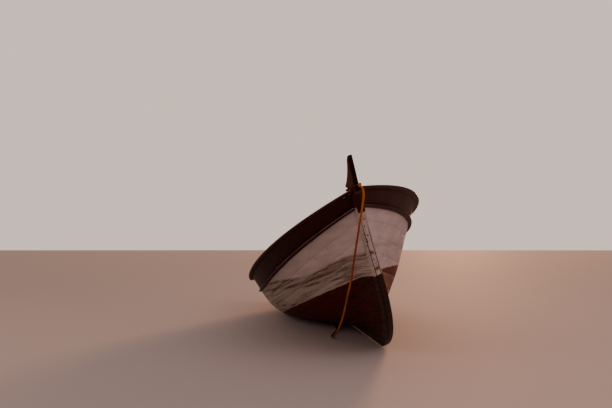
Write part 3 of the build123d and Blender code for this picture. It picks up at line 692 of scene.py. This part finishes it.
# Dark lines of pitch and painted gap shade, beside each edge of the stem band.
beside = sums(tree, "ABSOLUTE", sums(tree, "SUBTRACT", sums(tree, "ABSOLUTE", line["Across"]), pitch_out))
pitch_half = between(tree, line["Across"], 0.0, 0.01, 0.0014, 0.0030)
pitch_and_shade_mask = between(tree, beside, sums(tree, "ADD", pitch_half, 0.0012), pitch_half)
pitch_and_shade_mask = times(tree, pitch_and_shade_mask, between(tree, line["Up"], pitch_top, pitch_top - 0.10))
pitch_and_shade_mask = times(tree, pitch_and_shade_mask, between(tree, where["Ahead"], 0.4, 0.6))
colour = mix(tree, pitch_and_shade_mask, colour, pitch_and_gap_shade)
wire(tree, (colour, inputs["Base Color"]))
bumped(tree, inputs, sums(tree, "ADD", times(tree, grain["Height"], 0.7), worn["Height"]), 0.0014, 0.7)
for name in ("keel", "stem", "sternpost"):
    dressed(name, backbone, edge=0.004)

# Stem head and nose piece: an oak bitt with a horn, oiled, with painted shade darkening its fore
# faces, over a rounded block on the stem's fore face that is painted with the bulwarks.
oak = timber_finish("oiled_oak", (0.150, 0.042, 0.011, 1), (0.034, 0.009, 0.003, 1),
                    stretch=(9.0, 20.0, 2.0), roughness=0.65, soil=0.35, specular=0.05, painted_shade_ahead=0.8)
dressed("stem_head", oak, edge=0.007, segments=4)
dressed("nose_piece", brown, edge=0.003, segments=3)

# Stem band: a flat bar let down the stem's fore face, painted with the hull and rusting at
# the nails that hold it.
band_nail_first = 0.325       # height of the lowest nail on the upright stem
band_nail_step = 0.110
band_nail_count = 7
band_cream = (0.58, 0.50, 0.49, 1)
band_red = (0.050, 0.012, 0.008, 1)
bright_rust = (0.20, 0.070, 0.020, 1)
dark_rust = (0.050, 0.020, 0.011, 1)
wet_rust = (0.032, 0.011, 0.006, 1)
weeping_rust = (0.34, 0.17, 0.05, 1)
nail_rust = (0.10, 0.028, 0.010, 1)
band, tree, inputs = finish_of("band_paint", 0.6, 0.2)
place = group_in(tree, boat_place)["Place"]
line = group_in(tree, line_group, Place=place)
worn = group_in(tree, wear_group, Place=place, Stretch=(14.0, 14.0, 7.0),
                Wear=sums(tree, "MULTIPLY_ADD", line["Bottom"], 0.5, 0.36))
rust = mix(tree, between(tree, worn["Blotch"], 0.4, 0.6), bright_rust, dark_rust)
rust = mix(tree, line["Bottom"], rust, wet_rust)
coat = mix(tree, line["Bottom"], band_cream, band_red)
nail_share = sums(tree, "MULTIPLY_ADD", line["Up"], 1 / band_nail_step,
                  0.5 - band_nail_first / band_nail_step)
from_nail = sums(tree, "ABSOLUTE", sums(tree, "SUBTRACT", sums(tree, "FRACT", nail_share), 0.5))
weeping = node(tree, "ShaderNodeTexNoise", in_Scale=17.0, in_Detail=3.0)
wire(tree, (place, weeping.inputs[0]))
weeps = times(tree, between(tree, from_nail, 0.26, 0.06), between(tree, weeping.outputs[0], 0.42, 0.52))
weeps = times(tree, weeps, sums(tree, "SUBTRACT", 1.0, line["Bottom"]))
bleeding = mix(tree, between(tree, from_nail, 0.12, 0.04), weeping_rust, nail_rust)
colour = mix(tree, times(tree, weeps, 0.85), mix(tree, worn["Bare"], coat, rust), bleeding)
wire(tree, (colour, inputs["Base Color"]))
bumped(tree, inputs, worn["Height"], 0.001, 0.7)
band_bar = dressed("stem_band", band, edge=0.0015)

# Inside: sawn frames and floors, the apron, risers, knees and breasthook, painted pale grey
# and worn, with bare thwarts, stern bench and floorboards.
pale_inside = timber_finish("inside_paint", (0.34, 0.27, 0.20, 1), (0.14, 0.10, 0.07, 1), inside_grey,
                            wear=0.38, soil=0.4)
for name in ("apron", "side_frames", "floor_timbers", "risers", "thwart_knees", "breasthook",
             "quarter_knees"):
    dressed(name, pale_inside, edge=0.003)
seat_wood = timber_finish("seat_timber", (0.34, 0.22, 0.135, 1), (0.14, 0.08, 0.048, 1),
                          stretch=(16.0, 1.2, 16.0), roughness=0.6, soil=0.35)
for name in ("aft_thwart", "middle_thwart", "forward_thwart", "stern_bench"):
    dressed(name, seat_wood, edge=0.004)
board_wood = timber_finish("floor_timber", (0.30, 0.24, 0.18, 1), (0.12, 0.09, 0.065, 1),
                           roughness=0.75, soil=0.45)
dressed("floorboards", board_wood, edge=0.003)

# Rowlock sockets: cast tubes on pads inside the inwales, each bored for a rowlock's shank.
# They were galvanised long ago and are rusting.
old_zinc = (0.30, 0.29, 0.28, 1)
socket_rust = (0.16, 0.065, 0.03, 1)
cast, tree, inputs = finish_of("rusty_casting", 0.6)
place = group_in(tree, boat_place)["Place"]
worn = group_in(tree, wear_group, Place=place, Stretch=(14.0, 14.0, 14.0), Wear=0.5)
wire(tree, (mix(tree, worn["Bare"], old_zinc, socket_rust), inputs["Base Color"]),
     (sums(tree, "SUBTRACT", 0.7, times(tree, worn["Bare"], 0.6)), inputs["Metallic"]))
bumped(tree, inputs, worn["Height"], 0.0008, 0.7)
dressed("rowlock_sockets", cast, edge=0.001)

# Fastenings: iron nails with low round heads through each plank into its frames, two to a plank,
# closer together at the hood ends by the stem, and a row of larger ones down the stem band.
plank_nail = (0.0042, 0.0009)   # a head's radius, and how far its rim stands proud
band_nail = (0.0055, 0.0012)
head_sides = 10
crown_inset = 0.45            # of a head's radius, from its rim to its raised middle
crown_rise = 0.8              # of how far the rim stands proud
frame_spots = [0.480 + 0.400 * number for number in range(9)]
hood_spots = [4.02, 4.18]
nails_from_edge = 0.016
sighting = 0.06               # how far outside a plank's middle the look for its surface starts
outward_from = 0.95           # height on the middle plane that tells which side of a plank is outside
ahead_of_stem = 5.3           # where the look aft for the stem band starts
look_aft = 2.0
iron_rust = (0.10, 0.045, 0.025, 1)
black_iron = (0.035, 0.022, 0.016, 1)
iron, tree, inputs = finish_of("nail_iron", 0.75)
place = group_in(tree, boat_place)["Place"]
specks = node(tree, "ShaderNodeTexNoise", in_Scale=60.0, in_Detail=3.0)
speckled = mix(tree, between(tree, specks.outputs[0], 0.4, 0.6), iron_rust, black_iron)
wire(tree, (place, specks.inputs[0]), (speckled, inputs["Base Color"]))
bumped(tree, inputs, specks.outputs[0], 0.0004, 0.6)


def nail_heads(name, places, radius, proud):
    """One mesh of low round nail heads, each at a place with its outward normal."""
    bpy.ops.object.select_all(action="DESELECT")
    bpy.ops.mesh.primitive_cylinder_add(vertices=head_sides, radius=radius, depth=proud * 2)
    pattern = bpy.context.object
    bpy.ops.object.mode_set(mode="EDIT")
    shape = bmesh.from_edit_mesh(pattern.data)
    for face in shape.faces:
        face.select_set(face.normal.z > 0.9)
    bmesh.update_edit_mesh(pattern.data)
    bpy.ops.mesh.inset(thickness=radius * crown_inset, depth=proud * crown_rise)
    bpy.ops.object.mode_set(mode="OBJECT")
    single = pattern.data
    mesh = bpy.data.meshes.new(name)
    shape = bmesh.new()
    for spot, normal in places:
        turn = Vector((0, 0, 1)).rotation_difference(normal).to_matrix().to_4x4()
        turn.translation = spot
        copy = single.copy()
        copy.transform(turn)
        shape.from_mesh(copy)
        bpy.data.meshes.remove(copy)
    shape.to_mesh(mesh)
    shape.free()
    bpy.data.objects.remove(pattern)
    heads = bpy.data.objects.new(name, mesh)
    bpy.context.scene.collection.objects.link(heads)
    mesh.materials.append(iron)
    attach(heads, "root")


def section(timber, forward, side):
    """Where a plane across the upright boat cuts a timber on one side of it."""
    upright_points = [righting @ (vertex.co + upright_origin) for vertex in timber.data.vertices]
    cut = []
    for edge in timber.data.edges:
        one, two = (upright_points[index] for index in edge.vertices)
        if (one.x - forward) * (two.x - forward) < 0 and one.y * side > 0:
            cut.append(one.lerp(two, (forward - one.x) / (two.x - one.x)))
    return cut


def surface_of(timber):
    """The faces of a timber, for finding where a line meets them."""
    return BVHTree.FromPolygons([vertex.co for vertex in timber.data.vertices],
                                [face.vertices for face in timber.data.polygons])


places = []
for plank in planks.values():
    shell = surface_of(plank)
    for forward in frame_spots + hood_spots:
        for side in (1, -1):
            cut = section(plank, forward, side)
            if len(cut) < 4:
                continue
            middle = sum(cut, Vector()) / len(cut)
            far = max(cut, key=lambda point: (point - middle).length)
            girth = (far - middle).normalized()
            half = (far - middle).length - nails_from_edge
            outward = Vector((0, -girth.z, girth.y))
            if outward.dot(middle - Vector((forward, 0, outward_from))) < 0:
                outward.negate()
            for end in (1, -1):
                start = middle + girth * half * end + outward * sighting
                hit, normal, _, _ = shell.ray_cast(laid(*start), heeling @ -outward, sighting * 2)
                if hit:
                    places.append((hit, normal))
nail_heads("plank_nails", places, *plank_nail)

places = []
bar = surface_of(band_bar)
for number in range(band_nail_count):
    start = laid(ahead_of_stem, 0, band_nail_first + band_nail_step * number)
    hit, normal, _, _ = bar.ray_cast(start, Vector((-1, 0, 0)), look_aft)
    if hit:
        places.append((hit, normal))
nail_heads("band_nails", places, *band_nail)
